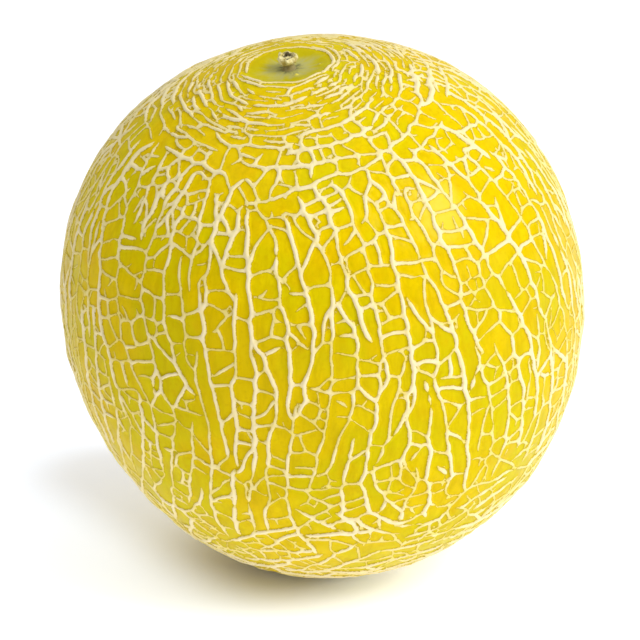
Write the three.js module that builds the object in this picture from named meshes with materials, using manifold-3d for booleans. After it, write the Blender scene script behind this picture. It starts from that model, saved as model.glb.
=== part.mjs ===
// A galia melon: a round netted fruit with the dry stub of its stalk still on it.
// Millimetres, +Z up. The fruit lies as it settles on a table: on the flat spot beside its blossom end,
// with the stalk end up and leaning towards -X and -Y. The origin is the centre of the flat spot.

import * as THREE from "three";
import { mergeVertices } from "three/addons/utils/BufferGeometryUtils.js";
import Module from "manifold-3d";

// Driving dimensions
const MEAN_RADIUS = 72;
const CORE_HEIGHT = 73.85;
const LEAN_TO_SIDE = THREE.MathUtils.degToRad(7.5);
const LEAN_TO_FRONT = THREE.MathUtils.degToRad(10.1);

// How far the fruit departs from a ball, each as a share of the mean radius
const LENGTHENED = 0.037;
const HEAVY_BLOSSOM_END = 0.0137;
const BLUNT_ENDS = 0.015;
const OVAL_GIRTH = 0.003;
const THREE_SIDED = -0.004;
const BENT_TO_SIDE = -0.002;
const BENT_TO_FRONT = -0.003;

// The bare dish around the stalk, and the scar at the blossom end
const DISH_RADIUS = 13.5;
const DISH_DEPTH = 1.9;
const SEAT_RADIUS = 4.6;
const SCAR_RADIUS = 4.6;
const SCAR_DEPTH = 0.8;
const NUB_RADIUS = 1.8;
const NUB_HEIGHT = 0.6;

// The stalk stub
const STUB_HEIGHT = 4.5;
const STUB_RADIUS = 2.8;
const STUB_RIBS = 5;
const STUB_RIB_DEPTH = 0.05;
const STUB_HOLLOW_FLOOR = 0.68;
const STUB_GAP = 0.3;

const GIRTH_STEPS = 72;
const DISH_RINGS = 6;
const BODY_RINGS = 34;
const SCAR_RINGS = 5;
const STUB_STEPS = 40;
const STUB_RINGS = 14;

const wasm = await Module();
wasm.setup();

const smoothstep = THREE.MathUtils.smoothstep;

// The share of the mean radius that the surface stands out along a unit direction of the fruit's own frame,
// whose +Z runs from the core to the stalk. Each term is a low spherical harmonic.
function swelling({ x, y, z }) {
  const lengthwise = (3 * z ** 2 - 1) / 2;
  const endToEnd = (5 * z ** 3 - 3 * z) / 2;
  const atBothEnds = (35 * z ** 4 - 30 * z ** 2 + 3) / 8;
  const bend = 5 * z ** 2 - 1;
  return (
    LENGTHENED * lengthwise -
    HEAVY_BLOSSOM_END * endToEnd -
    BLUNT_ENDS * atBothEnds +
    OVAL_GIRTH * (x ** 2 - y ** 2) +
    THREE_SIDED * (x ** 3 - 3 * x * y ** 2) +
    BENT_TO_SIDE * x * bend +
    BENT_TO_FRONT * y * bend
  );
}

// How far the dish and the blossom scar lie below that swelling.
function hollow(direction) {
  const fromAxis = MEAN_RADIUS * Math.hypot(direction.x, direction.y);
  if (direction.z > 0)
    return DISH_DEPTH * (1 - smoothstep(fromAxis, SEAT_RADIUS, DISH_RADIUS));
  const scar = SCAR_DEPTH * (1 - smoothstep(fromAxis, NUB_RADIUS, SCAR_RADIUS));
  const nub = NUB_HEIGHT * (1 - smoothstep(fromAxis, 0, NUB_RADIUS));
  return scar - nub;
}

function fruitRadius(direction) {
  return MEAN_RADIUS * (1 + swelling(direction)) - hollow(direction);
}

// Turns the fruit's own frame so that its stalk leans.
function leaningFrame() {
  const stalk = new THREE.Vector3(
    -Math.tan(LEAN_TO_SIDE),
    -Math.tan(LEAN_TO_FRONT),
    1,
  ).normalize();
  const side = new THREE.Vector3(1, 0, 0)
    .addScaledVector(stalk, -stalk.x)
    .normalize();
  const back = new THREE.Vector3().crossVectors(stalk, side);
  return new THREE.Matrix4().makeBasis(side, back, stalk);
}

// Angles from the stalk of the fruit's rings: close together over the dish and the scar.
function ringAngles() {
  const angles = [];
  const spread = (from, to, steps) => {
    for (let i = 0; i < steps; i++) angles.push(from + ((to - from) * i) / steps);
  };
  const dish = Math.asin(DISH_RADIUS / MEAN_RADIUS);
  const scar = Math.PI - Math.asin(SCAR_RADIUS / MEAN_RADIUS);
  spread(0, dish, DISH_RINGS);
  spread(dish, scar, BODY_RINGS);
  spread(scar, Math.PI, SCAR_RINGS);
  angles.push(Math.PI);
  return angles;
}

// The whole fruit as a turned unit ball whose points are moved out to the surface.
function fruitGeometry() {
  const profile = ringAngles()
    .reverse()
    .map((angle) => new THREE.Vector2(Math.sin(angle), Math.cos(angle)));
  profile[0].x = 0;
  const geometry = new THREE.LatheGeometry(profile, GIRTH_STEPS);
  geometry.rotateX(Math.PI / 2);
  const position = geometry.getAttribute("position");
  const direction = new THREE.Vector3();
  for (let i = 0; i < position.count; i++) {
    direction.fromBufferAttribute(position, i).normalize();
    direction.multiplyScalar(fruitRadius(direction));
    position.setXYZ(i, direction.x, direction.y, direction.z);
  }
  return geometry.applyMatrix4(leaningFrame()).translate(0, 0, CORE_HEIGHT);
}

function toSolid(geometry) {
  const bare = geometry.clone();
  bare.deleteAttribute("normal");
  bare.deleteAttribute("uv");
  const merged = mergeVertices(bare, 1e-4);
  return new wasm.Manifold(
    new wasm.Mesh({
      numProp: 3,
      vertProperties: merged.attributes.position.array,
      triVerts: new Uint32Array(merged.index.array),
    }),
  );
}

function toGeometry(solid) {
  const { vertProperties, triVerts } = solid.getMesh();
  const geometry = new THREE.BufferGeometry();
  geometry.setAttribute(
    "position",
    new THREE.BufferAttribute(vertProperties, 3),
  );
  geometry.setIndex(new THREE.BufferAttribute(triVerts, 1));
  geometry.computeVertexNormals();
  return geometry;
}

// Cuts off what reaches below the table top, which leaves the flat spot.
function cutFlatSpot(geometry) {
  const side = 2 * MEAN_RADIUS;
  const below = new THREE.BoxGeometry(side, side, side).translate(0, 0, -side / 2);
  return toGeometry(toSolid(geometry).subtract(toSolid(below)));
}

// The dry stalk: a flared foot, a waist, a swollen head and a torn hollow in its end.
function stubGeometry() {
  const outline = new THREE.SplineCurve([
    new THREE.Vector2(1.05, 0),
    new THREE.Vector2(0.84, 0.14),
    new THREE.Vector2(0.88, 0.34),
    new THREE.Vector2(1.03, 0.6),
    new THREE.Vector2(0.92, 0.88),
    new THREE.Vector2(0.62, 0.97),
    new THREE.Vector2(0.36, 0.76),
  ]);
  const profile = [new THREE.Vector2(0, 0)];
  for (const point of outline.getPoints(STUB_RINGS))
    profile.push(new THREE.Vector2(point.x * STUB_RADIUS, point.y * STUB_HEIGHT));
  profile.push(new THREE.Vector2(0, STUB_HOLLOW_FLOOR * STUB_HEIGHT));
  const geometry = new THREE.LatheGeometry(profile, STUB_STEPS);
  geometry.rotateX(Math.PI / 2);
  const position = geometry.getAttribute("position");
  for (let i = 0; i < position.count; i++) {
    const x = position.getX(i);
    const y = position.getY(i);
    const rib = 1 + STUB_RIB_DEPTH * Math.cos(STUB_RIBS * Math.atan2(y, x));
    position.setXY(i, x * rib, y * rib);
  }
  geometry.deleteAttribute("normal");
  geometry.deleteAttribute("uv");
  const smooth = mergeVertices(geometry, 1e-4);
  smooth.computeVertexNormals();
  return smooth;
}

const rind = new THREE.MeshStandardMaterial({
  color: 0xe6c800,
  roughness: 0.45,
  metalness: 0,
});
const dryStalk = new THREE.MeshStandardMaterial({
  color: 0xd8c878,
  roughness: 0.85,
  metalness: 0,
});

const fruit = new THREE.Mesh(cutFlatSpot(fruitGeometry()), rind);
fruit.name = "fruit";

const stub = new THREE.Mesh(stubGeometry(), dryStalk);
stub.name = "stem_stub";
const stalkEnd = new THREE.Vector3(0, 0, 1);
stub.position.z = fruitRadius(stalkEnd) + STUB_GAP;

const stalkFrame = new THREE.Group();
stalkFrame.applyMatrix4(leaningFrame());
stalkFrame.position.z = CORE_HEIGHT;
stalkFrame.add(stub);

const melon = new THREE.Group();
melon.add(fruit, stalkFrame);

export default melon;
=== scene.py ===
"""A galia melon lying on a pale table: one skin that carries the rind and its raised cork net, and the dry
stub of the stalk. The net is grown as cracks over the fruit, as the real one is, and the skin's vertices
follow it."""

import math
import random

import bpy
import numpy as np
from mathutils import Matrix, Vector, kdtree
from mathutils.geometry import delaunay_2d_cdt


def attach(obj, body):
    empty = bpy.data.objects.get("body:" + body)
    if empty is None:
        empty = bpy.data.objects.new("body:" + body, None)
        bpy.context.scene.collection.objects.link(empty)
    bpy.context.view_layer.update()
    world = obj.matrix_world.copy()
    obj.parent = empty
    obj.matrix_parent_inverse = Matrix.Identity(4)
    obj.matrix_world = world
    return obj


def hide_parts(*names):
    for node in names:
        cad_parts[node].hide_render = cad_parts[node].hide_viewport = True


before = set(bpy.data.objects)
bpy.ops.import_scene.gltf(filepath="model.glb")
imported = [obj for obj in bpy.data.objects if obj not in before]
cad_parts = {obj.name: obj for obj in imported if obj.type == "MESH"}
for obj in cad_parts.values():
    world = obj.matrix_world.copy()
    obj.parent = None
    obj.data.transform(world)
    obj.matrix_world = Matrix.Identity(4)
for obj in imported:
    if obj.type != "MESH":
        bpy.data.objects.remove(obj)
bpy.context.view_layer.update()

# Lengths are in millimetres until a mesh is made. The fruit's own frame has its origin in the core and +Z
# towards the stalk.
MM = 0.001

# --- The shape of the fruit

MEAN_RADIUS = 72.0
CORE_HEIGHT = 73.85
LEAN_TO_SIDE = math.radians(7.5)
LEAN_TO_FRONT = math.radians(10.1)

LENGTHENED = 0.037
HEAVY_BLOSSOM_END = 0.0137
BLUNT_ENDS = 0.015
OVAL_GIRTH = 0.003
THREE_SIDED = -0.004
BENT_TO_SIDE = -0.002
BENT_TO_FRONT = -0.003

DISH_RADIUS = 13.5
DISH_DEPTH = 1.9
SEAT_RADIUS = 4.6
SCAR_RADIUS = 4.6
SCAR_DEPTH = 0.8
NUB_RADIUS = 1.8
NUB_HEIGHT = 0.6

# small warts in the dish beside the stalk: place across and behind it, radius and height
WARTS = ((2.0, -5.2, 0.62, 0.5), (8.2, -0.6, 0.42, 0.3))


def step_up(x, low, high):
    """0 below low, 1 above high, smooth between. Takes numbers or arrays."""
    t = np.clip((x - low) / (high - low), 0, 1)
    return t * t * (3 - 2 * t)


def fruit_radius(d):
    """Radius of the bare rind along unit directions, an array of rows x, y, z."""
    x, y, z = d.T
    lengthwise = (3 * z**2 - 1) / 2
    end_to_end = (5 * z**3 - 3 * z) / 2
    at_both_ends = (35 * z**4 - 30 * z**2 + 3) / 8
    bend = 5 * z**2 - 1
    swelling = (
        LENGTHENED * lengthwise
        - HEAVY_BLOSSOM_END * end_to_end
        - BLUNT_ENDS * at_both_ends
        + OVAL_GIRTH * (x**2 - y**2)
        + THREE_SIDED * (x**3 - 3 * x * y**2)
        + BENT_TO_SIDE * x * bend
        + BENT_TO_FRONT * y * bend
    )
    from_axis = MEAN_RADIUS * np.hypot(x, y)
    dish = DISH_DEPTH * (1 - step_up(from_axis, SEAT_RADIUS, DISH_RADIUS))
    scar = SCAR_DEPTH * (1 - step_up(from_axis, NUB_RADIUS, SCAR_RADIUS))
    nub = NUB_HEIGHT * (1 - step_up(from_axis, 0, NUB_RADIUS))
    return MEAN_RADIUS * (1 + swelling) - np.where(z > 0, dish, scar - nub)


stalk_way = np.array((-math.tan(LEAN_TO_SIDE), -math.tan(LEAN_TO_FRONT), 1))
stalk_way /= np.linalg.norm(stalk_way)
side_way = np.array((1.0, 0, 0)) - stalk_way * stalk_way[0]
side_way /= np.linalg.norm(side_way)
LEANING = np.stack((side_way, np.cross(stalk_way, side_way), stalk_way))


def on_table(points):
    """Points of the fruit's own frame as they lie on the table, still in millimetres."""
    return points @ LEANING + (0, 0, CORE_HEIGHT)


# --- The net, grown as cracks on the mean sphere. Angles called deg are degrees from the stalk.

TAU = 2 * math.pi
DEG = math.pi / 180

STEP = 0.7  # of a growing line
GRID = 1.6  # of the cells in which the laid points are looked up
DISH_EDGE = 9.2  # where the ring round the dish runs, in degrees
LINES_FROM, LINES_TO = 10.2, 175.4  # where lines end, at the dish and at the blossom scar
STARTS_FROM, STARTS_TO = 11, 174  # between these they start
RINGS_TO, BLOSSOM_FROM = 40, 114  # lines run round the stalk, along the fruit between these, then round again

NOTICED = 3.3  # how far a growing line notices others
DRAWN_IN = 1.7  # how near one straight ahead draws it in
MET = 0.62  # how near it joins one
LEFT_PARENT = 2.4  # its length when it may join the line that it left
AHEAD = 1.0  # what counts as straight ahead, in radians
SHARPEST, LEANS_IN, LEANS_OUT = 0.35, 0.14, 0.05  # turns, in radians per millimetre
CURL_FADES = 5  # the length over which it forgets a turn

# Values that vary with the angle from the stalk: a base, then changes, each with the angle where it begins
# and the angle where all of it is there
SPACING = (1.34, (-0.33, 60, 43), (-0.22, 32, 20), (-0.13, 74, 92), (-0.08, 106, 120))
LINE_WIDTH = (1, (0.17, 52, 42), (-0.10, 34, 24), (0.14, 120, 135))
LINE_LENGTH = (1, (-0.5, 56, 46), (-0.5, 98, 110))
KEPT_BY_STALK = (0.2, (0.8, 40, 31))
KEPT_BY_BLOSSOM = (0.35, (0.35, 142, 158))
SPUR_CHANCE = (0.6, (0.4, 26, 14), (0.4, 98, 116))
FORK_CHANCE = (0.12, (0.88, 24, 42))
BEAD_LENGTH = 2.4  # of the pieces of a beaded line
UNTORN_LENGTH = (2.6, (29, 24, 36), (-12, 100, 118))
TORN_WIDTH = (1, (-0.08, 34, 24))
STOPS_SHORT = (0.12, (0.16, 34, 24), (0.16, 100, 118))

BENDS = ((7.5, 0.27), (3.0, 0.07))  # wavelength and size
WIDTH_SHARE = 0.89  # of the width that a line was given
KNUCKLED, SWOLLEN = 0.10, 0.17  # how much its width varies, over short and long stretches
TAPER = dict(dead=2.6, torn=1.5)  # the length over which a free end widens
END_WIDTH = 0.4
THINNEST = 0.22


def smooth(x, a, b):
    """What step_up gives, for one number and much sooner."""
    t = min(max((x - a) / (b - a), 0.0), 1.0)
    return t * t * (3 - 2 * t)


def varied(value, deg):
    total = value[0]
    for change, start, full in value[1:]:
        total += change * smooth(deg, start, full)
    return total


class Waves:
    """Smooth noise on the sphere: a sum of plane waves, about -1 to 1."""

    def __init__(self, rng, wavelength, count=7):
        self.terms = []
        for _ in range(count):
            v = [rng.gauss(0, 1) for _ in range(3)]
            n = math.sqrt(sum(c * c for c in v))
            k = TAU / (wavelength * rng.uniform(0.7, 1.4))
            self.terms.append((v[0] / n * k, v[1] / n * k, v[2] / n * k, rng.uniform(0, TAU)))
        self.scale = 1.25 / math.sqrt(count)

    def of(self, points):
        """The noise at each row of an array of points."""
        t = np.array(self.terms)
        return self.scale * np.sin(points @ t[:, :3].T + t[:, 3]).sum(1)

    def __call__(self, p):
        x, y, z = p
        return self.scale * sum(math.sin(a * x + b * y + c * z + phase) for a, b, c, phase in self.terms)


def local_frame(p):
    """Unit vectors away from the stalk and around it, at the point p of the sphere."""
    x, y, z = p[0] / MEAN_RADIUS, p[1] / MEAN_RADIUS, p[2] / MEAN_RADIUS
    s = math.hypot(x, y)
    if s < 1e-6:
        return (1.0, 0.0, 0.0), (0.0, 1.0, 0.0)
    cx, cy = x / s, y / s
    return (z * cx, z * cy, -s), (-cy, cx, 0.0)


def move(p, angle, step):
    """The point a step away from p. Angles on the sphere are measured from the way down from the stalk."""
    d, c = local_frame(p)
    ca, sa = math.cos(angle) * step, math.sin(angle) * step
    q = (p[0] + ca * d[0] + sa * c[0], p[1] + ca * d[1] + sa * c[1], p[2] + ca * d[2] + sa * c[2])
    n = MEAN_RADIUS / math.sqrt(q[0] * q[0] + q[1] * q[1] + q[2] * q[2])
    return (q[0] * n, q[1] * n, q[2] * n)


def bearing(p, q):
    """The angle in which q lies from p."""
    d, c = local_frame(p)
    v = (q[0] - p[0], q[1] - p[1], q[2] - p[2])
    return math.atan2(v[0] * c[0] + v[1] * c[1] + v[2] * c[2], v[0] * d[0] + v[1] * d[1] + v[2] * d[2])


def wrap(a):
    return (a + math.pi) % TAU - math.pi


def polar(p):
    return math.degrees(math.acos(min(max(p[2] / MEAN_RADIUS, -1), 1)))


class Net:
    """The lines laid so far: for each its points, its kind, how its two ends stop and its width."""

    def __init__(self, seed):
        self.rng = random.Random(seed)
        self.grid = {}
        self.lines = []
        # the third is drawn only to leave the draws after it as they are
        self.twist, self.mix, _, self.dense = [Waves(self.rng, length) for length in (60, 30, 45, 34)]

    def cell(self, p):
        return (math.floor(p[0] / GRID), math.floor(p[1] / GRID), math.floor(p[2] / GRID))

    def lay(self, pts, kind, ends, width):
        for i, p in enumerate(pts):
            self.grid.setdefault(self.cell(p), []).append((p[0], p[1], p[2], len(self.lines), i))
        self.lines.append(dict(pts=pts, kind=kind, ends=ends, width=width))

    def nearest(self, p, reach, skip=None):
        """The distance and place of the nearest laid point, or None. skip(line, index) leaves points out."""
        a, b, c = self.cell(p)
        n = int(reach / GRID) + 1
        best, found = reach * reach, None
        x, y, z = p
        for i in range(a - n, a + n + 1):
            for j in range(b - n, b + n + 1):
                for k in range(c - n, c + n + 1):
                    for q in self.grid.get((i, j, k), ()):
                        dx, dy, dz = q[0] - x, q[1] - y, q[2] - z
                        d = dx * dx + dy * dy + dz * dz
                        if d < best and not (skip and skip(q[3], q[4])):
                            best, found = d, q
        return found and (math.sqrt(best), found[:3])

    def axis(self, p):
        """The direction in which the lines run at p, and how strongly they keep to it, 0 to 1."""
        deg = polar(p)
        deg += 3 * self.mix(p)
        tilt = 0.24 * self.twist(p)
        if deg < RINGS_TO:
            return math.pi / 2 + 0.5 * tilt, varied(KEPT_BY_STALK, deg)
        if deg < BLOSSOM_FROM:
            return tilt, 0.2 + 0.8 * (smooth(deg, 40, 52) * smooth(deg, 116, 106))
        return math.pi / 2 + tilt, varied(KEPT_BY_BLOSSOM, deg)

    def spacing(self, p):
        """The net's spacing at p, about 1. The sizes of the cells and of their clearances go with it."""
        return varied(SPACING, polar(p)) * (1 + 0.12 * self.dense(p))

    def run(self, p, angle, style, me, parent=None):
        """A line grown from p until it joins another, or ends dead: crowded out, or as long as it may be."""
        rng = self.rng
        pts, curl, crowded, length = [], 0.0, 0.0, 0.0
        limit = rng.uniform(*style["length"]) * (0.45 + 0.55 * self.spacing(p))
        limit *= varied(LINE_LENGTH, polar(p))
        merging = rng.random() < style["merge"]

        def skip(line, _):
            return line == me or (line == parent and length < LEFT_PARENT)

        while True:
            q = move(p, angle, STEP)
            length += STEP
            spacing = self.spacing(q)
            if not LINES_FROM <= polar(q) <= LINES_TO:
                return pts, "dead"
            near = self.nearest(q, NOTICED, skip)
            if near and near[0] < MET:
                pts.append(near[1])
                return pts, "join"
            pts.append(q)
            turn = curl
            curl += -curl * STEP / CURL_FADES + style["wander"] * math.sqrt(STEP) * rng.gauss(0, 1)
            wanted, keep = self.axis(q)
            if style["across"]:
                wanted += math.pi / 2
                keep *= 0.5
            turn += keep * style["pull"] * math.sin(2 * (wanted - angle)) * 0.5
            if near:
                aside = wrap(bearing(q, near[1]) - angle)
                if abs(aside) < AHEAD and near[0] < DRAWN_IN:
                    turn = max(-SHARPEST, min(SHARPEST, 0.5 * aside))
                elif near[0] < style["clear"] * spacing and length > 3:
                    if merging:
                        turn += math.copysign(LEANS_IN, aside)
                    else:
                        turn -= math.copysign(LEANS_OUT, aside)
                        crowded += STEP
                        if crowded > style["patience"] * spacing:
                            return pts, "dead"
                elif crowded > 0:
                    crowded -= 0.3 * STEP
            angle += turn * STEP
            p = q
            if length > limit:
                return pts, "dead"

    def random_point(self):
        z = self.rng.uniform(-1, 1)
        a = self.rng.uniform(0, TAU)
        s = math.sqrt(1 - z * z)
        return (MEAN_RADIUS * s * math.cos(a), MEAN_RADIUS * s * math.sin(a), MEAN_RADIUS * z)

    def both_ways(self, p, angle, style):
        """The points of a line that runs both ways from p, and how its ends stop."""
        a, a_stops = self.run(p, angle, style, len(self.lines))
        b, b_stops = self.run(p, angle + math.pi, style, len(self.lines))
        return a[::-1] + [p] + b, (a_stops, b_stops)

    def free_line(self, p, style, kind):
        """Lays a line both ways from a point inside a cell. Says whether it was long enough."""
        angle, keep = self.axis(p)
        if style["across"]:
            angle += math.pi / 2
        angle = angle + self.rng.gauss(0, style["spread"]) + (self.rng.gauss(0, 1.0) * (1 - keep))
        pts, ends = self.both_ways(p, angle, style)
        if (len(pts) - 1) * STEP < style["least"] * self.spacing(p):
            return False
        self.lay(pts, kind, ends, self.rng.uniform(*style["width"]) * varied(LINE_WIDTH, polar(p)))
        return True

    def free_run(self, p, angle, reach, skip=None):
        """How far a straight way from p is free of lines, up to reach."""
        gone = 0.0
        while gone < reach:
            p = move(p, angle, STEP)
            gone += STEP
            if self.nearest(p, 0.75, skip):
                break
        return gone

    def branch(self, style, kind, tries):
        """Lays lines that leave the sides of others, where the cell beside them is wide and long enough."""
        rng = self.rng
        for _ in range(tries):
            i = rng.randrange(len(self.lines))
            pts = self.lines[i]["pts"]
            if len(pts) < 5:
                continue
            k = rng.randrange(1, len(pts) - 2)
            p = pts[k]
            spacing = self.spacing(p)
            if rng.random() > style["chance"](polar(p)):
                continue
            along = bearing(p, pts[k + 1])
            side = rng.choice((-1, 1))
            out = along + side * math.pi / 2
            gap = self.free_run(p, out, 12 * spacing, lambda line, n: line == i and abs(n - k) < 8)
            if gap < style["gap"] * spacing:
                continue
            mid = move(p, out, 0.5 * gap)
            ahead = self.free_run(mid, along, 16 * spacing)
            behind = self.free_run(mid, along + math.pi, 16 * spacing)
            if min(ahead, behind) < style["beside"] * spacing:
                continue
            if ahead + behind < rng.uniform(*style["cell"]) * spacing:
                continue
            lean = rng.uniform(*style["leave"]) * DEG
            angle = along + side * lean if rng.random() < 0.5 else along + math.pi - side * lean
            run, end = self.run(p, angle, style, len(self.lines), parent=i)
            if len(run) * STEP < style["least"] * spacing:
                continue
            if end == "dead" and rng.random() < style["dislike_dead"]:
                continue
            self.lay([p] + run, kind, ("join", end), rng.uniform(*style["width"]))


def spur_chance(deg):
    """Short spurs are most by the rings and towards the blossom end."""
    return varied(SPUR_CHANCE, deg)


def fork_chance(deg):
    return varied(FORK_CHANCE, deg)


def rung_chance(deg):
    """Rungs are fewest by the rings and below the girth, where the long lines run on."""
    return fork_chance(deg) * (1 - 0.5 * smooth(deg, 74, 84) * smooth(deg, 110, 102))


# How each kind of line grows. wander: how unsteadily. pull: how strongly it turns along the net, or across
# it. merge: how often it turns to a line beside it. clear, patience: how near it bears one, and how long.
# spread: how far off the net's direction it starts. least: the shortest that is kept. For those that branch
# off, leave: at what angle; gap, beside, cell: how wide, how long each way and in all the cell has to be.
TRUNK = dict(length=(12, 38), wander=0.019, pull=0.20, across=False, merge=0.4, clear=3.6, patience=5,
             spread=0.08, least=6, width=(0.85, 1.22))
VEIN = dict(length=(8, 28), wander=0.020, pull=0.16, across=False, merge=0.4, clear=2.8, patience=4,
            spread=0.14, least=4.5, width=(0.7, 1.1))
FORK = dict(length=(6, 18), wander=0.024, pull=0.06, across=False, merge=0.6, clear=1.6, patience=4,
            least=4, width=(0.7, 1.15), leave=(25, 55), gap=3.4, beside=2.0, cell=(12, 20), dislike_dead=0.6,
            chance=fork_chance)
RUNG = dict(length=(6, 13), wander=0.035, pull=0.03, across=True, merge=0.2, clear=1.2, patience=4,
            least=1.6, width=(0.6, 0.95), leave=(70, 90), gap=2.0, beside=2.4, cell=(10, 17),
            dislike_dead=0.8, chance=rung_chance)
BRIDGE = dict(length=(8, 14), wander=0.03, pull=0.0, across=False, merge=1, clear=1.6, patience=9,
              width=(0.6, 1.0))
RINGLET = dict(length=(4, 12), wander=0.02, pull=0.2, across=False, merge=0.1, clear=1.4, patience=5,
               spread=0.05, least=2, width=(0.7, 1.1))
FILL = dict(length=(3, 9), wander=0.05, pull=0.05, across=False, merge=0.3, clear=1.2, patience=3,
            spread=0.6, least=2.5, width=(0.45, 0.75))
SPUR = dict(length=(1.5, 4), wander=0.05, pull=0.02, across=True, merge=0, clear=0.8, patience=3,
            least=1.2, width=(0.45, 0.8), leave=(45, 90), gap=1.3, beside=0.8, cell=(2.5, 5), dislike_dead=0,
            chance=spur_chance)
DASH = dict(length=(2.5, 7), wander=0.02, pull=0.2, across=False, merge=0, clear=1.0, patience=3,
            spread=0.05, least=1.6, width=(0.65, 1.0))

# the ring that bounds the dish, doubled in places: where each arc starts and how far it goes, in radians,
# how far out it lies, and its width
DISH_ARCS = (
    (-0.75, 1.75, 0.0, 1.2), (0.85, 1.9, 0.1, 0.8), (2.6, 0.7, -0.1, 0.9), (3.42, 0.75, 0.1, 1.0),
    (4.05, 1.6, -0.1, 0.85), (-0.55, 1.3, 1.75, 1.0), (2.3, 1.15, 1.5, 0.75), (3.55, 0.8, 1.6, 0.95),
    (4.3, 1.25, 1.45, 0.7),
)


def dish_arc(net, start, span, out, width):
    r = (DISH_EDGE + out * 0.85) * DEG
    n = max(int(span * MEAN_RADIUS * math.sin(r) / STEP), 4)
    sway = Waves(net.rng, 11)
    pts = []
    for i in range(n + 1):
        a = start + span * i / n
        f = r + 0.45 / MEAN_RADIUS * sway((MEAN_RADIUS * math.cos(a), MEAN_RADIUS * math.sin(a), 0))
        from_axis = MEAN_RADIUS * math.sin(f)
        pts.append((from_axis * math.cos(a), from_axis * math.sin(a), MEAN_RADIUS * math.cos(f)))
    net.lay(pts, "arc", ("dead", "dead"), width)


def darts(net, style, kind, distance, misses, lowest=STARTS_TO):
    """Lays free lines where there is room round their start, until so many tries in a row have missed."""
    miss = 0
    while miss < misses:
        p = net.random_point()
        if not STARTS_FROM <= polar(p) <= lowest:
            continue
        miss += 1
        if not net.nearest(p, distance * net.spacing(p)) and net.free_line(p, style, kind):
            miss = 0


def bridges(net, style, kind, distance, misses):
    """Lays short lines across the widest cells that are left, each over the cell's shorter way."""
    rng = net.rng
    miss = 0
    while miss < misses:
        miss += 1
        p = net.random_point()
        spacing = net.spacing(p)
        if not 24 <= polar(p) <= STARTS_TO or net.nearest(p, distance * spacing):
            continue
        ways = []
        first = rng.uniform(0, math.pi)
        for i in range(6):
            angle = first + i * math.pi / 6 + rng.gauss(0, 0.08)
            over = net.free_run(p, angle, 14 * spacing) + net.free_run(p, angle + math.pi, 14 * spacing)
            ways.append((over, i, angle))
        pts, ends = net.both_ways(p, min(ways)[2], style)
        if "join" in ends:
            net.lay(pts, kind, ends, rng.uniform(*style["width"]))
            miss = 0


def grow(seed):
    net = Net(seed)
    for arc in DISH_ARCS:
        dish_arc(net, *arc)
    darts(net, TRUNK, "trunk", 4.3, 260)
    darts(net, VEIN, "vein", 3.7, 420)
    darts(net, RINGLET, "ringlet", 2.75, 900, lowest=27)
    net.branch(FORK, "fork", 3000)
    net.branch(RUNG, "rung", 6000)
    bridges(net, BRIDGE, "bridge", 2.12, 900)
    darts(net, FILL, "fill", 2.8, 500)
    net.branch(SPUR, "spur", 4200)
    darts(net, DASH, "dash", 1.85, 900, lowest=31)
    return net


def torn(net):
    """The lines again, with gaps torn in them away from where they meet others, and some left just short."""
    rng = net.rng
    ends_at = {}
    for line in net.lines:
        for p in (line["pts"][0], line["pts"][-1]):
            ends_at[p] = ends_at.get(p, 0) + 1
    out = []
    for line in net.lines:
        if line["kind"] == "arc":
            out.append(line)
            continue
        pts, n = line["pts"], len(line["pts"])
        shared = [i for i, p in enumerate(pts) if ends_at.get(p, 0) > (1 if i in (0, n - 1) else 0)]
        beads = line["kind"] != "trunk" and 86 < polar(pts[0]) < 130 and rng.random() < 0.16
        pieces = []
        start = i = 0
        while i < n:
            deg = polar(pts[i])
            each = BEAD_LENGTH if beads else varied(UNTORN_LENGTH, deg)
            i += max(1, int(rng.expovariate(1 / each) / STEP) + (1 if beads or deg < 30 else 3))
            gap = 1 if beads else rng.choice((1, 2, 2, 3) if deg < 34 else (1, 2, 2))
            if i + gap + 2 >= n:
                break
            if any(i - 2 <= k <= i + gap + 2 for k in shared):
                continue
            pieces.append((start, i))
            start = i = i + gap
        pieces.append((start, n - 1))
        for a, b in pieces:
            ends = [line["ends"][0] if a == 0 else "torn", line["ends"][1] if b == n - 1 else "torn"]
            if ends[1] == "join" and b - a > 4 and rng.random() < varied(STOPS_SHORT, polar(pts[b])):
                if not any(b - 3 < k < b for k in shared):
                    b -= 2
                    ends[1] = "torn"
            if ends[0] == "join" and b - a > 4 and rng.random() < varied(STOPS_SHORT, polar(pts[a])):
                if not any(0 < k < 3 for k in shared):
                    a += 2
                    ends[0] = "torn"
            if b > a:
                width = line["width"] * varied(TORN_WIDTH, polar(pts[a]))
                out.append(dict(pts=pts[a : b + 1], ends=ends, width=width))
    return out


def relaxed(lines, rounds=7):
    """The lines' points, each drawn towards the middle of its neighbours. Free ends stay where they are."""
    index = {}
    rows = [[index.setdefault(p, len(index)) for p in line["pts"]] for line in lines]
    points = np.array(list(index))
    pairs = np.array([(a, b) for row in rows for a, b in zip(row, row[1:]) if a != b])
    neighbours = np.bincount(pairs.ravel(), minlength=len(points))
    movable = neighbours >= 2
    for _ in range(rounds):
        total = np.zeros_like(points)
        np.add.at(total, pairs[:, 0], points[pairs[:, 1]])
        np.add.at(total, pairs[:, 1], points[pairs[:, 0]])
        middle = total / np.maximum(neighbours, 1)[:, None]
        points = np.where(movable[:, None], points + 0.5 * (middle - points), points)
        points *= MEAN_RADIUS / np.linalg.norm(points, axis=1, keepdims=True)
    return [points[row] for row in rows]


def path_lengths(points):
    return np.concatenate(([0], np.cumsum(np.linalg.norm(np.diff(points, axis=0), axis=1))))


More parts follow.
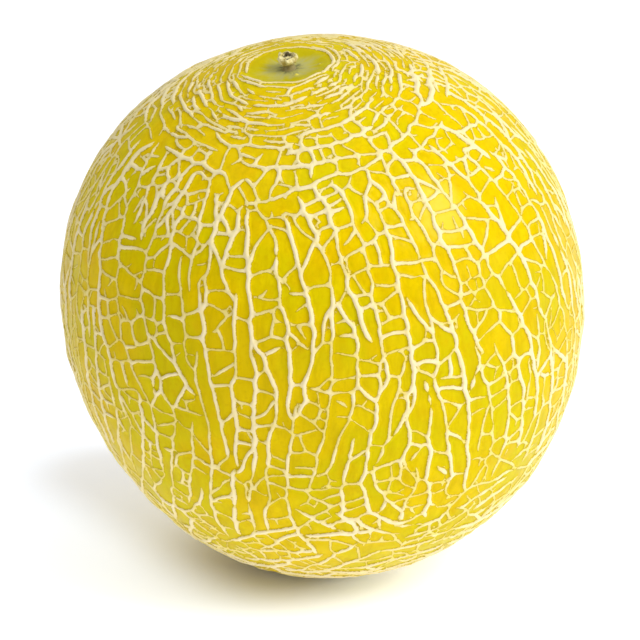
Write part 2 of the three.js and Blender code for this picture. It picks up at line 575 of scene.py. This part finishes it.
def ribbons(net, rng):
    """The net's lines as paths of points and widths, bent a little, with knuckles and tapered free ends."""
    lines = torn(net)
    bends = [([Waves(rng, length, 9) for _ in range(3)], size) for length, size in BENDS]
    knuckle = Waves(rng, 2.4, 9)
    slow = Waves(rng, 16, 7)
    out = []
    for line, points in zip(lines, relaxed(lines)):
        shift = np.zeros_like(points)
        for waves, size in bends:
            shift += size * np.stack([w.of(points) for w in waves], 1)
        points = points + shift
        points = points * (MEAN_RADIUS / np.linalg.norm(points, axis=1, keepdims=True))
        done = path_lengths(points)
        uneven = 1 + KNUCKLED * knuckle.of(points) + SWOLLEN * slow.of(points)
        width = WIDTH_SHARE * line["width"] * uneven
        for end, to_end in zip(line["ends"], (done, done[-1] - done)):
            if end != "join":
                width = width * np.clip(END_WIDTH + to_end / TAPER[end], 0, 1)
        out.append((points, np.maximum(width, THINNEST)))
    return out


# --- The skin: vertices in rows along the net's lines and loosely in its cells

ROW_SPACING = 1.12  # along the lines
FINE_SPACING = 0.24  # of the points from which the distance to a line is measured
# the spread of points over the cells, the dish and the blossom scar: spacing, and degrees from and to
SPREADS = ((1.75, 11, 176), (0.9, 0, 10.6), (0.6, 175.6, 180))
SHOULDER = 0.20  # how far inside a line's edge its top begins
WIDE = 0.84  # lines from this width on have two rows on top
FOOT = 0.06  # how far outside its edge a line meets the rind
BEYOND_FOOT = (0.30, 0.42, 0.58, 0.78)  # where more points are tried outside the edge
BESIDE_FROM, BESIDE_TO = 0.24, 0.8  # between these from every edge they are kept
CELL_FROM = 0.7  # from the edges to the points of the cells
OVERLAP = 0.02  # how far a foot may lie inside another line
FILLET = 0.17  # of the corners between lines that meet
EVENED_OVER = 0.35  # the stretch over which the heights of lines that meet even out
REACH = 2.0  # how far from a line its distance is known
# how far each sort of point keeps from those placed before it
APART_PLACED, APART_CREST, APART_FOOT, APART_CELL, APART_BEYOND = 0.1, 0.30, 0.24, 0.55, 0.62

# a small round patch in the middle of the flat spot, closed by a fan
PATCH_RADIUS = 2.5
PATCH_STEPS = 16
PATCH_MARGIN = 0.35


def resampled(points, widths, spacing):
    """Points and widths at even steps along a path."""
    s = path_lengths(points)
    at = np.linspace(0, s[-1], max(int(round(s[-1] / spacing)), 1) + 1)
    return np.stack([np.interp(at, s, c) for c in points.T], 1), np.interp(at, s, widths)


class NetField:
    """How far any point of the sphere lies outside the net's edges, and how tall the cork is there."""

    def __init__(self, ribbons):
        parts = [resampled(p, w, FINE_SPACING) for p, w in ribbons]
        points = np.concatenate([p for p, _ in parts])
        self.half = (np.concatenate([w for _, w in parts]) / 2).tolist()
        self.owner = np.repeat(np.arange(len(parts)), [len(p) for p, _ in parts]).tolist()
        self.tree = kdtree.KDTree(len(points))
        for i, p in enumerate(points.tolist()):
            self.tree.insert(p, i)
        self.tree.balance()

    def at(self, p):
        """(distance outside the edge, half width of the line) with the corners between lines filled in."""
        best = {}
        half, owner = self.half, self.owner
        for _, i, d in self.tree.find_range(p, REACH):
            v = d - half[i]
            k = owner[i]
            if k not in best or v < best[k][0]:
                best[k] = (v, half[i])
        if not best:
            return REACH, 0.0
        rows = sorted(best.values())
        edge, width = rows[0]
        if len(rows) > 1:
            v, h = rows[1]
            gap = v - edge
            share = 0.5 * math.exp(-gap / EVENED_OVER)
            width += share * (h - width)
            if gap < FILLET:
                edge -= (FILLET - gap) ** 2 / (4 * FILLET)
        return edge, width


def row_points(ribbons):
    """Points along both shoulders and both feet of each line, and points beyond them in the cells."""
    crest, feet, beyond = [], [], []
    for path, widths in ribbons:
        points, w = resampled(path, widths, ROW_SPACING)
        if len(points) < 2:
            continue
        along = np.gradient(points, axis=0)
        side = np.cross(points, along)
        side /= np.linalg.norm(side, axis=1)[:, None]
        along /= np.linalg.norm(along, axis=1)[:, None]
        half = w / 2
        for p, s, h, wide in zip(points, side, half, w):
            if wide >= WIDE:
                crest.append(p + s * (h - SHOULDER))
                crest.append(p - s * (h - SHOULDER))
            else:
                crest.append(p)
            for way in (s, -s):
                feet.append(p + way * (h + FOOT))
                beyond += [p + way * (h + out) for out in BEYOND_FOOT]
        for p, a, h in ((points[0], -along[0], half[0]), (points[-1], along[-1], half[-1])):
            feet.append(p + a * (h + FOOT))
    return crest, feet, beyond


def cell_points():
    """An even spread over the whole sphere, closer in the dish and at the blossom scar."""
    turn = math.pi * (3 - math.sqrt(5))
    out = []
    for spacing, above, below in SPREADS:
        count = int(4 * math.pi * MEAN_RADIUS**2 / (0.866 * spacing**2))
        i = np.arange(count)
        z = 1 - (2 * i + 1) / count
        deg = np.degrees(np.arccos(z))
        within = (deg > above) & (deg < below)
        i, z = i[within], z[within]
        r = np.sqrt(1 - z * z)
        out.append(np.stack((r * np.cos(turn * i), r * np.sin(turn * i), z), 1))
    return np.concatenate(out) * MEAN_RADIUS


class Spaced:
    """Keeps points that are at least so far from all those kept before."""

    def __init__(self, size=1.0):
        self.size = size
        self.cells = {}
        self.kept = []

    def add(self, p, apart):
        x, y, z = p
        n = self.size
        a, b, c = math.floor(x / n), math.floor(y / n), math.floor(z / n)
        limit = apart * apart
        for i in (a - 1, a, a + 1):
            for j in (b - 1, b, b + 1):
                for k in (c - 1, c, c + 1):
                    for q in self.cells.get((i, j, k), ()):
                        if (q[0] - x) ** 2 + (q[1] - y) ** 2 + (q[2] - z) ** 2 < limit:
                            return False
        self.cells.setdefault((a, b, c), []).append((x, y, z))
        self.kept.append((x, y, z))
        return True


def on_sphere(p):
    n = MEAN_RADIUS / math.sqrt(p[0] ** 2 + p[1] ** 2 + p[2] ** 2)
    return (p[0] * n, p[1] * n, p[2] * n)


def skin_points(ribbons, field):
    """All the skin's points on the mean sphere, what the field says of each, the middle of the flat spot, and
    the ways to it and across it."""
    under = LEANING @ np.array((0, 0, -1.0))
    side = np.cross(under, (1.0, 0, 0))
    side /= np.linalg.norm(side)
    other = np.cross(under, side)
    spaced = Spaced()
    info = []

    def keep(p, apart, known=None):
        if known is None:
            known = field.at(p)
        if spaced.add(p, apart):
            info.append(known)

    for i in range(PATCH_STEPS):
        a = TAU * i / PATCH_STEPS
        spot = under * MEAN_RADIUS + PATCH_RADIUS * (math.cos(a) * side + math.sin(a) * other)
        keep(on_sphere(spot), APART_PLACED)
    hub = tuple(under * MEAN_RADIUS)

    def near_patch(p):
        return math.dist(p, hub) < PATCH_RADIUS + PATCH_MARGIN

    for x, y, size, _ in WARTS:
        for share, count in ((0, 1), (0.4, 5), (0.8, 8), (1.2, 10)):
            for i in range(count):
                a = TAU * (i + share) / count
                spot = np.array((x + share * size * math.cos(a), y + share * size * math.sin(a), MEAN_RADIUS))
                keep(on_sphere(spot.tolist()), APART_PLACED)
    crest, feet, beyond = row_points(ribbons)
    for p in crest:
        p = on_sphere(p.tolist())
        if not near_patch(p):
            keep(p, APART_CREST)
    for p in feet:
        p = on_sphere(p.tolist())
        if near_patch(p):
            continue
        known = field.at(p)
        if known[0] >= -OVERLAP:
            keep(p, APART_FOOT, known)
    middles = []
    for p in beyond:
        p = on_sphere(p.tolist())
        known = field.at(p)
        if BESIDE_FROM < known[0] < BESIDE_TO:
            middles.append((-known[0], p, known))
    middles.sort()
    for p in cell_points().tolist():
        if near_patch(p):
            continue
        known = field.at(p)
        if known[0] > CELL_FROM:
            keep(tuple(p), APART_CELL, known)
    for _, p, known in middles:
        if not near_patch(p):
            keep(p, APART_BEYOND, known)
    return np.array(spaced.kept), np.array(info), np.array(hub), under, side, other


def facing_out(points, faces):
    """The triangles, turned round where they face the core."""
    a, b, c = points[faces[:, 0]], points[faces[:, 1]], points[faces[:, 2]]
    inward = np.einsum("ij,ij->i", np.cross(b - a, c - a), a) < 0
    faces[inward] = faces[inward][:, ::-1]
    return faces


def skin_faces(points, under, side, other):
    """Delaunay triangles on the sphere, through a stereographic map from the middle of the flat spot."""
    x, y, z = points @ side / MEAN_RADIUS, points @ other / MEAN_RADIUS, points @ under / MEAN_RADIUS
    scale = 2 / (1 - z)
    flat = [Vector(p) for p in np.stack((x * scale, y * scale), 1).tolist()]
    made = delaunay_2d_cdt(flat, [], [], 0, 1e-9, True)
    assert len(made[0]) == len(points)
    first = [ids[0] for ids in made[3]]
    return facing_out(points, np.array(first)[np.array(made[2])])


# --- The skin: its relief

CORK_BASE = 0.18  # the cork's height, and how much more it is per width of the line
CORK_PER_WIDTH = 0.27
RISE = 0.26  # how far into the line it comes to its full height
CELL_SINK = 0.12  # how much lower the rind is beside a line, and the distance over which that fades
CELL_SOFTNESS = 0.8
UNEVEN = ((13, 0.12), (5, 0.04))  # the rind's swellings: wavelength and height
LOWEST = 0.03  # above the table
# the fruit is a little flatter low on its left
FLATTER_SIDE = np.array((-0.70, -0.225, -0.678))
FLATTER_BY = 1.3
FLATTER_WIDTH = 0.10


def cork_height(edge, half):
    """Height of the cork above the rind: a steep flank and a rounded top."""
    t = np.clip((FOOT - edge) / RISE, 0, 1)
    return (CORK_BASE + CORK_PER_WIDTH * 2 * half) * (1 - (1 - t) ** 2)


def mesh_object(name, verts, faces, smooth=True):
    mesh = bpy.data.meshes.new(name)
    mesh.vertices.add(len(verts))
    mesh.vertices.foreach_set("co", np.asarray(verts, np.float32).ravel())
    faces = np.asarray(faces, np.int32)
    mesh.loops.add(faces.size)
    mesh.loops.foreach_set("vertex_index", faces.ravel())
    mesh.polygons.add(len(faces))
    mesh.polygons.foreach_set("loop_start", np.arange(0, faces.size, faces.shape[1], dtype=np.int32))
    mesh.polygons.foreach_set("use_smooth", np.full(len(faces), smooth))
    mesh.update(calc_edges=True)
    mesh.validate()
    ob = bpy.data.objects.new(name, mesh)
    bpy.context.scene.collection.objects.link(ob)
    return ob


def vertex_values(ob, name, values):
    ob.data.attributes.new(name, "FLOAT", "POINT").data.foreach_set("value", np.asarray(values, np.float32))


def map_as_cube(ob, way, faces):
    """A UV map of six charts, one for each side of a cube round the fruit, three by two in the square."""
    middle = way[faces].mean(1)
    axis = np.abs(middle).argmax(1)
    sign = np.sign(middle[np.arange(len(faces)), axis])
    corner = way[faces]
    rows = np.arange(len(faces))[:, None]
    main, *across = (corner[rows, np.arange(3)[None], ((axis + k) % 3)[:, None]] for k in range(3))
    chart = axis + 3 * (sign < 0)
    room = 0.94
    u = 0.5 + room * 2 / math.pi * np.arctan2(across[0] * sign[:, None], np.abs(main))
    v = 0.5 + room * 2 / math.pi * np.arctan2(across[1], np.abs(main))
    uv = np.stack(((chart % 3)[:, None] / 3 + u / 3, (chart // 3)[:, None] / 2 + v / 2), -1)
    ob.data.uv_layers.new(name="OFBake").data.foreach_set("uv", uv.astype(np.float32).ravel())


def build_skin(ribbons, rng):
    """The fruit's skin, with values for its material: the distance outside the net's edge, the line's width,
    the warts, and the distance from the stalk over the mean sphere."""
    field = NetField(ribbons)
    points, info, hub, under, side, other = skin_points(ribbons, field)
    faces = skin_faces(points, under, side, other)
    ring = np.arange(PATCH_STEPS)
    fan = np.stack((ring, (ring + 1) % PATCH_STEPS, np.full(PATCH_STEPS, len(points))), 1)
    points = np.concatenate((points, hub[None]))
    info = np.concatenate((info, [field.at(hub)]))
    faces = np.concatenate((faces, facing_out(points, fan)))
    edge, half = info.T
    way = points / MEAN_RADIUS
    from_line = np.clip(edge, 0, None)
    uneven = sum(Waves(rng, length, 9).of(points) * height for length, height in UNEVEN)
    wart = np.zeros(len(points))
    for x, y, size, height in WARTS:
        away = np.hypot(points[:, 0] - x, points[:, 1] - y)
        dome = height * np.clip(1 - (away / (1.2 * size)) ** 2, 0, 1) ** 1.5
        wart = np.maximum(wart, np.where(way[:, 2] > 0, dome, 0))
    sink = CELL_SINK * np.exp(-from_line / CELL_SOFTNESS)
    radius = fruit_radius(way) + wart + uneven - sink + cork_height(edge, half)
    verts = on_table(way * radius[:, None])
    out = verts - (0, 0, CORE_HEIGHT)
    out /= np.linalg.norm(out, axis=1, keepdims=True)
    verts -= out * (FLATTER_BY * np.exp((out @ FLATTER_SIDE - 1) / FLATTER_WIDTH))[:, None]
    verts[:, 2] = np.maximum(verts[:, 2], LOWEST)
    skin = mesh_object("melon_skin", verts * MM, faces)
    vertex_values(skin, "net_edge", np.clip(edge, -1.2, 3))
    vertex_values(skin, "cork_width", 2 * half)
    vertex_values(skin, "wart", np.clip(wart * 4, 0, 1))
    map_as_cube(skin, way, faces)
    vertex_values(skin, "from_stalk", MEAN_RADIUS * np.arccos(np.clip(way[:, 2], -1, 1)))
    return skin


# --- The stub of the stalk: a narrow neck under a ribbed button, torn hollow at the top

# radius and height, from the foot up the outside, over the rim and down into the hollow
STUB_PROFILE = (
    (2.1, -0.35), (1.75, -0.02), (1.55, 0.3), (1.42, 0.7), (1.38, 1.1), (1.48, 1.45), (1.85, 1.7),
    (2.3, 1.95), (2.58, 2.3), (2.68, 2.7), (2.62, 3.1), (2.45, 3.42), (2.2, 3.66), (1.95, 3.72),
    (1.72, 3.6), (1.5, 3.35), (1.3, 3.1), (1.05, 2.95), (0.7, 2.9), (0.35, 2.92),
)
STUB_STEPS = 96
STUB_ROWS = 64
STUB_RIBS = ((0.17, 5, 0.6), (0.07, 9, 2.0), (0.05, 14, 4.1))  # depth, how many round it, turn
STUB_ROUGHNESS = ((2.1, 0.13), (0.75, 0.05))  # wavelength and height


def build_stub(rng):
    """The stub, with values for its material: how much a point is in the hollow, neck or a groove."""
    profile = np.array(STUB_PROFILE)
    s = path_lengths(profile)
    at = np.linspace(0, s[-1], STUB_ROWS)
    radius, height = np.interp(at, s, profile[:, 0]), np.interp(at, s, profile[:, 1])
    share = at / s[-1]
    for values in (radius, height):
        for _ in range(3):
            values[1:-1] = (values[:-2] + 2 * values[1:-1] + values[2:]) / 4
    turn = TAU * np.arange(STUB_STEPS) / STUB_STEPS
    cap = step_up(height, 1.0, 2.2) * (1 - 0.6 * step_up(share, 0.72, 0.95))
    ribs = sum(depth * np.cos(count * turn + shift) for depth, count, shift in STUB_RIBS)
    r = radius[:, None] + cap[:, None] * ribs[None] * np.minimum(radius / 2.2, 1)[:, None]
    x, y = r * np.cos(turn), r * np.sin(turn)
    z = np.repeat(height[:, None], STUB_STEPS, 1)
    inside = step_up(share, 0.66, 0.8)[:, None]
    slant = step_up(z, 2.2, 3.4) * (0.16 * y / 2.6 - 0.20 * x / 2.6)
    z = z + slant + inside * 0.35 * np.cos(2 * turn + 0.8)[None] * (r / 2)
    place = np.stack((x, y, z), -1).reshape(-1, 3)
    rough = np.clip(place[:, 2:] / 1.2, 0, 1)
    for length, size in STUB_ROUGHNESS:
        waves = [Waves(rng, length, 9) for _ in range(3)]
        place = place + rough * size * np.stack([w.of(place) for w in waves], 1)
    seat = fruit_radius(np.array(((0, 0, 1.0),)))[0]
    middle = place[-STUB_STEPS:].mean(0)
    place = np.concatenate((place, middle[None]))
    faces = []
    for i in range(STUB_ROWS - 1):
        for j in range(STUB_STEPS):
            k = (j + 1) % STUB_STEPS
            row, above = i * STUB_STEPS, (i + 1) * STUB_STEPS
            faces += [(row + j, row + k, above + k), (row + j, above + k, above + j)]
    last = (STUB_ROWS - 1) * STUB_STEPS
    faces += [(last + j, last + (j + 1) % STUB_STEPS, len(place) - 1) for j in range(STUB_STEPS)]
    stub = mesh_object("stalk_stub", on_table(place + (0, 0, seat)) * MM, faces)
    hollow = np.append(np.repeat(inside[:, 0], STUB_STEPS), 1)
    neck = np.append(np.repeat(1 - step_up(height, 0.9, 1.9), STUB_STEPS), 0)
    neck = np.where(hollow > 0.01, 0, neck)
    groove = np.append(((0.2 - ribs)[None] / 0.45 * cap[:, None]).ravel(), 0)
    for label, values in (("hollow", hollow), ("neck", neck), ("groove", np.clip(groove, 0, 1))):
        vertex_values(stub, label, values)
    return stub


# --- Materials


class Nodes:
    """A material's node tree, with short ways to add nodes and links."""

    def __init__(self, name):
        self.material = bpy.data.materials.new(name)
        self.material.use_nodes = True
        self.tree = self.material.node_tree
        self.tree.nodes.clear()
        self.shader = self.add("ShaderNodeBsdfPrincipled")
        self.add("ShaderNodeOutputMaterial", {"Surface": self.shader.outputs[0]})

    def put(self, node, inputs):
        """Links or sets a node's inputs, given by name or number."""
        for key, value in inputs.items():
            if isinstance(value, bpy.types.NodeSocket):
                self.tree.links.new(value, node.inputs[key])
            else:
                node.inputs[key].default_value = value

    def add(self, kind, inputs={}, **settings):
        node = self.tree.nodes.new(kind)
        for key, value in settings.items():
            setattr(node, key, value)
        self.put(node, inputs)
        return node

    def attribute(self, name):
        return self.add("ShaderNodeAttribute", attribute_name=name).outputs["Fac"]

    def place(self):
        return self.add("ShaderNodeTexCoord").outputs["Object"]

    def noise(self, scale, detail=3, roughness=0.5, vector=None):
        inputs = dict(Vector=vector or self.place(), Scale=scale, Detail=detail, Roughness=roughness)
        return self.add("ShaderNodeTexNoise", inputs).outputs["Fac"]

    def ramp(self, value, low, high, bottom=0.0, top=1.0, kind="SMOOTHSTEP"):
        inputs = dict(enumerate((value, low, high, bottom, top)))
        return self.add("ShaderNodeMapRange", inputs, interpolation_type=kind).outputs[0]

    def even_ramp(self, value, low, high, bottom, top):
        return self.ramp(value, low, high, bottom, top, "LINEAR")

    def combine(self, kind, a, b, clamp=False):
        return self.add("ShaderNodeMath", {0: a, 1: b}, operation=kind, use_clamp=clamp).outputs[0]

    def vector(self, kind, a, b=(0, 0, 0)):
        node = self.add("ShaderNodeVectorMath", {0: a, "Scale" if kind == "SCALE" else 1: b}, operation=kind)
        return node.outputs["Value" if kind in ("DISTANCE", "DOT_PRODUCT") else "Vector"]

    def blend(self, share, a, b, kind="MIX"):
        a, b = (c if isinstance(c, bpy.types.NodeSocket) else (*c, 1) for c in (a, b))
        return self.add("ShaderNodeMix", {0: share, 6: a, 7: b}, data_type="RGBA", blend_type=kind).outputs[2]

    def bump(self, height, distance, strength):
        inputs = dict(Strength=strength, Distance=distance, Height=height)
        return self.add("ShaderNodeBump", inputs).outputs[0]

    def finished(self, colour, roughness, specular, more):
        inputs = {"Base Color": colour, "Roughness": roughness, "Specular IOR Level": specular, **more}
        self.put(self.shader, inputs)
        return self.material


# the middle of the painted highlight on the shoulder, in metres
PAINTED_HIGHLIGHT_SPOT = (0.0283, -0.0508, 0.1153)


def skin_material():
    """Yellow rind under cream cork. The skin's values say where the cork lies and how wide its line is."""
    m = Nodes("netted_rind")
    edge = m.attribute("net_edge")
    stalk = m.attribute("from_stalk")
    place = m.place()
    ragged = m.combine("ADD", edge, m.even_ramp(m.noise(1300, 3, 0.65), 0.3, 0.7, -0.10, 0.10))
    cork = m.ramp(ragged, -0.045, 0.03, 1, 0)

    # the rind: patches of golden, greenish and warmer yellow, dark and pale streaks along it, and specks
    rind = m.blend(m.ramp(m.noise(34, 3, 0.55), 0.38, 0.64), (0.76, 0.535, 0.0003), (0.65, 0.53, 0.0005))
    rind = m.blend(m.ramp(m.noise(80, 4, 0.6), 0.50, 0.70, 0, 0.5), rind, (0.72, 0.435, 0.0002))
    dark = m.noise(300, 4, 0.65, m.vector("MULTIPLY", place, (1, 1, 0.2)))
    rind = m.blend(m.ramp(dark, 0.42, 0.70, 0, 0.45), rind, (0.56, 0.39, 0.0003))
    pale = m.noise(420, 3, 0.6, m.vector("MULTIPLY", place, (1, 1, 0.3)))
    rind = m.blend(m.ramp(pale, 0.52, 0.74, 0, 0.35), rind, (0.84, 0.66, 0.002))
    rind = m.blend(m.ramp(m.noise(900, 2, 0.5), 0.5, 0.75, 0, 0.3), rind, (0.60, 0.38, 0.0003))
    # painted light: the rind made brighter towards the stalk, where the top of the fruit takes more light
    rind = m.blend(m.ramp(stalk, 50, 95, 1, 0), rind, (1.14, 1.14, 1.0), "MULTIPLY")
    # a painted highlight: a pale spot on the shoulder where the key light's reflection falls
    uneven = m.even_ramp(m.noise(160, 3, 0.6), 0.3, 0.7, -0.002, 0.002)
    from_highlight = m.combine("ADD", m.vector("DISTANCE", place, PAINTED_HIGHLIGHT_SPOT), uneven)
    rind = m.blend(m.ramp(from_highlight, 0.003, 0.0105, 0.6, 0), rind, (0.92, 0.72, 0.07))
    # a thin brown band along the foot of the cork: partly the rind's own brown there, partly painted shade
    # where the raised cork shades the rind
    rind = m.blend(m.ramp(edge, 0.03, 0.23, 0.42, 0), rind, (0.34, 0.22, 0.002))
    # a few brown dots
    dots = m.add("ShaderNodeTexVoronoi", dict(Vector=place, Scale=75), feature="F1").outputs["Distance"]
    dots = m.combine("MULTIPLY", m.ramp(dots, 0.02, 0.045, 0.75, 0), m.ramp(m.noise(55, 1), 0.56, 0.60))
    rind = m.blend(dots, rind, (0.20, 0.12, 0.01))

    # the dish: olive, greyer towards the stalk in rays, with painted shade right round the stub's foot, and
    # yellow warts
    foot = tuple(on_table(np.array((0, 0, MEAN_RADIUS))) * MM)
    rays = m.noise(3.2, 3, 0.6, m.vector("NORMALIZE", m.vector("SUBTRACT", place, foot)))
    reach = m.combine("ADD", stalk, m.even_ramp(rays, 0.3, 0.7, -2.4, 2.4))
    rind = m.blend(m.ramp(stalk, 9.5, 12.5, 0.55, 0), rind, (0.47, 0.44, 0.004))
    rind = m.blend(m.ramp(reach, 3.0, 9.5, 0.8, 0), rind, (0.50, 0.49, 0.20))
    # painted shade: dark round the foot of the stub, where it shades the dish
    rind = m.blend(m.ramp(reach, 1.2, 4.2, 0.8, 0), rind, (0.20, 0.20, 0.09))
    rind = m.blend(m.attribute("wart"), rind, (0.86, 0.74, 0.10))

    # the cork: whiter on wide lines and near the stalk, darker in spots and at its edges
    cream = m.blend(m.ramp(m.attribute("cork_width"), 0.5, 1.1), (0.91, 0.745, 0.20), (0.95, 0.815, 0.50))
    cream = m.blend(m.ramp(m.noise(300, 4, 0.6), 0.4, 0.75, 0, 0.5), cream, (0.91, 0.725, 0.24))
    cream = m.blend(m.ramp(edge, -0.14, 0.02, 0, 0.5), cream, (0.82, 0.62, 0.12))
    cream = m.blend(m.ramp(stalk, 40, 90, 0.5, 0), cream, (0.97, 0.85, 0.47))
    skin = m.blend(cork, rind, cream)
    # the blossom scar: a tan ring with a dark middle
    scar = m.combine("ADD", stalk, m.even_ramp(m.noise(420, 3, 0.6), 0.3, 0.7, -0.9, 0.9))
    skin = m.blend(m.ramp(scar, 220.9, 221.9, 0, 0.9), skin, (0.66, 0.50, 0.20))
    skin = m.blend(m.ramp(scar, 223.4, 224.6, 0, 0.85), skin, (0.20, 0.13, 0.05))
    grain = m.combine("MULTIPLY", m.noise(2200, 4, 0.7), cork)
    dimple = m.combine("MULTIPLY", m.noise(900, 2, 0.5), 0.3)
    relief = m.bump(m.combine("ADD", grain, dimple), 0.00014, 0.8)
    return m.finished(skin, m.even_ramp(cork, 0, 1, 0.22, 0.8), 0.035, {"Normal": relief})


def stalk_material():
    """Straw, with darker grooves, black pits of painted shade in the hollow and a brown neck darkened by
    painted shade under the button.
    """
    m = Nodes("dry_stalk")
    fibre = m.noise(900, 4, 0.65)
    colour = m.blend(m.ramp(fibre, 0.4, 0.7), (0.84, 0.76, 0.40), (0.62, 0.47, 0.12))
    colour = m.blend(m.ramp(m.attribute("groove"), 0.35, 1, 0, 0.75), colour, (0.40, 0.30, 0.05))
    # black pits: painted shade standing in for small holes in the hollow
    pits = m.combine("MULTIPLY", m.ramp(m.attribute("hollow"), 0.2, 0.9), m.ramp(m.noise(650, 2), 0.42, 0.56))
    colour = m.blend(m.combine("MULTIPLY", pits, 0.95), colour, (0.06, 0.045, 0.02))
    # the neck: partly its own brown, partly painted shade under the overhanging button
    colour = m.blend(m.ramp(m.attribute("neck"), 0.1, 0.9, 0, 0.8), colour, (0.26, 0.21, 0.09))
    return m.finished(colour, 0.8, 0.15, {"Normal": m.bump(fibre, 0.0002, 0.8)})


# the table is darkest at this place, and dark along this run, where the fruit's shadow falls and the table's
# painted glow is weakest
DARKEST = (-0.012, -0.003, 0)
SHADOW_FROM = Vector((-0.012, -0.008, 0))
SHADOW_RUN = Vector((-0.050, 0.073, 0))


def table_material():
    """A white table with a painted glow: it glows a little, less at the fruit's foot and along its shadow, so
    shaping the shadow, and cooler away from the shadow. Its base colour is faintly blue against the yellow
    light the fruit bounces onto it.
    """
    m = Nodes("pale_table_painted_glow")
    place = m.place()
    along = m.vector("SUBTRACT", place, SHADOW_FROM)
    along = m.vector("DOT_PRODUCT", along, SHADOW_RUN / SHADOW_RUN.length_squared)
    along = m.combine("ADD", along, 0.0, clamp=True)
    nearest = m.vector("ADD", m.vector("SCALE", SHADOW_RUN, along), SHADOW_FROM)
    from_foot = m.vector("DISTANCE", place, DARKEST)
    # painted light: the table's glow grows away from the fruit's foot and from its shadow
    painted_glow = m.ramp(from_foot, 0.006, 0.05, 0.035, 0.255)
    painted_glow = m.combine("ADD", painted_glow, m.ramp(from_foot, 0.080, 0.110, 0, 0.05))
    beside = m.ramp(m.vector("DISTANCE", place, nearest), 0.010, 0.036, 0, 0.30)
    beside = m.combine("MULTIPLY", beside, m.ramp(from_foot, 0.09, 0.20, 1, 0.1))
    both = m.combine("ADD", painted_glow, beside)
    cool = m.combine("DIVIDE", beside, m.combine("ADD", both, 0.001))
    tint = m.blend(cool, (1, 1, 1), (0.68, 0.80, 1.0))
    return m.finished((0.89, 0.905, 0.955, 1), 0.9, 0.0, {"Emission Strength": both, "Emission Color": tint})


# --- The part

skin = build_skin(ribbons(grow(21), random.Random(3)), random.Random(11))
skin.data.materials.append(skin_material())
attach(skin, "root")
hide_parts("fruit")

stub = build_stub(random.Random(5))
stub.data.materials.append(stalk_material())
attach(stub, "root")
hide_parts("stem_stub")

# --- The table, the light and the camera

scene = bpy.context.scene
scene.view_settings.view_transform = "Standard"

TABLE = 3.0  # from the middle to each side
corners = [(x * TABLE, y * TABLE, 0) for x, y in ((-1, -1), (1, -1), (1, 1), (-1, 1))]
floor = mesh_object("table_top", corners, [(0, 1, 2, 3)], smooth=False)
floor.data.materials.append(table_material())

world = bpy.data.worlds.new("studio")
world.use_nodes = True
world.node_tree.nodes["Background"].inputs["Color"].default_value = (1, 1, 1, 1)
world.node_tree.nodes["Background"].inputs["Strength"].default_value = 0.358
scene.world = world

CORE = Vector((0, 0, CORE_HEIGHT * MM))
LIGHT_DISTANCE = 3.0
VIEW_DISTANCE = 0.894
VIEW_ELEVATION = math.radians(18.4)
AIM_LEFT, AIM_LOW = 0.0010, 0.0043  # of the core


def looking(name, data, place, back):
    """An object at a place that looks away from the way back."""
    ob = bpy.data.objects.new(name, data)
    ob.location = place
    ob.rotation_mode = "QUATERNION"
    ob.rotation_quaternion = (-back).to_track_quat("-Z", "Y")
    scene.collection.objects.link(ob)
    return ob


def softbox(name, towards, size, power):
    data = bpy.data.lights.new(name, "AREA")
    data.shape = "RECTANGLE"
    data.size, data.size_y = size
    data.energy = power
    towards = Vector(towards).normalized()
    looking(name, data, CORE + towards * LIGHT_DISTANCE, towards)


softbox("key", (0.644, -0.33, 0.691), (1.33, 1.2), 49)
softbox("overhead", (-0.22, 0.0, 1), (3.2, 3.2), 29)
softbox("side_fill", (0.92, -0.33, 0.20), (2.2, 1.0), 18)

lens = bpy.data.cameras.new("camera")
lens.sensor_width = 36
lens.lens = 185
back = Vector((0, -math.cos(VIEW_ELEVATION), math.sin(VIEW_ELEVATION)))
up = Vector((0, math.sin(VIEW_ELEVATION), math.cos(VIEW_ELEVATION)))
aim = CORE - Vector((AIM_LEFT, 0, 0)) - up * AIM_LOW
scene.camera = looking("camera", lens, aim + back * VIEW_DISTANCE, back)
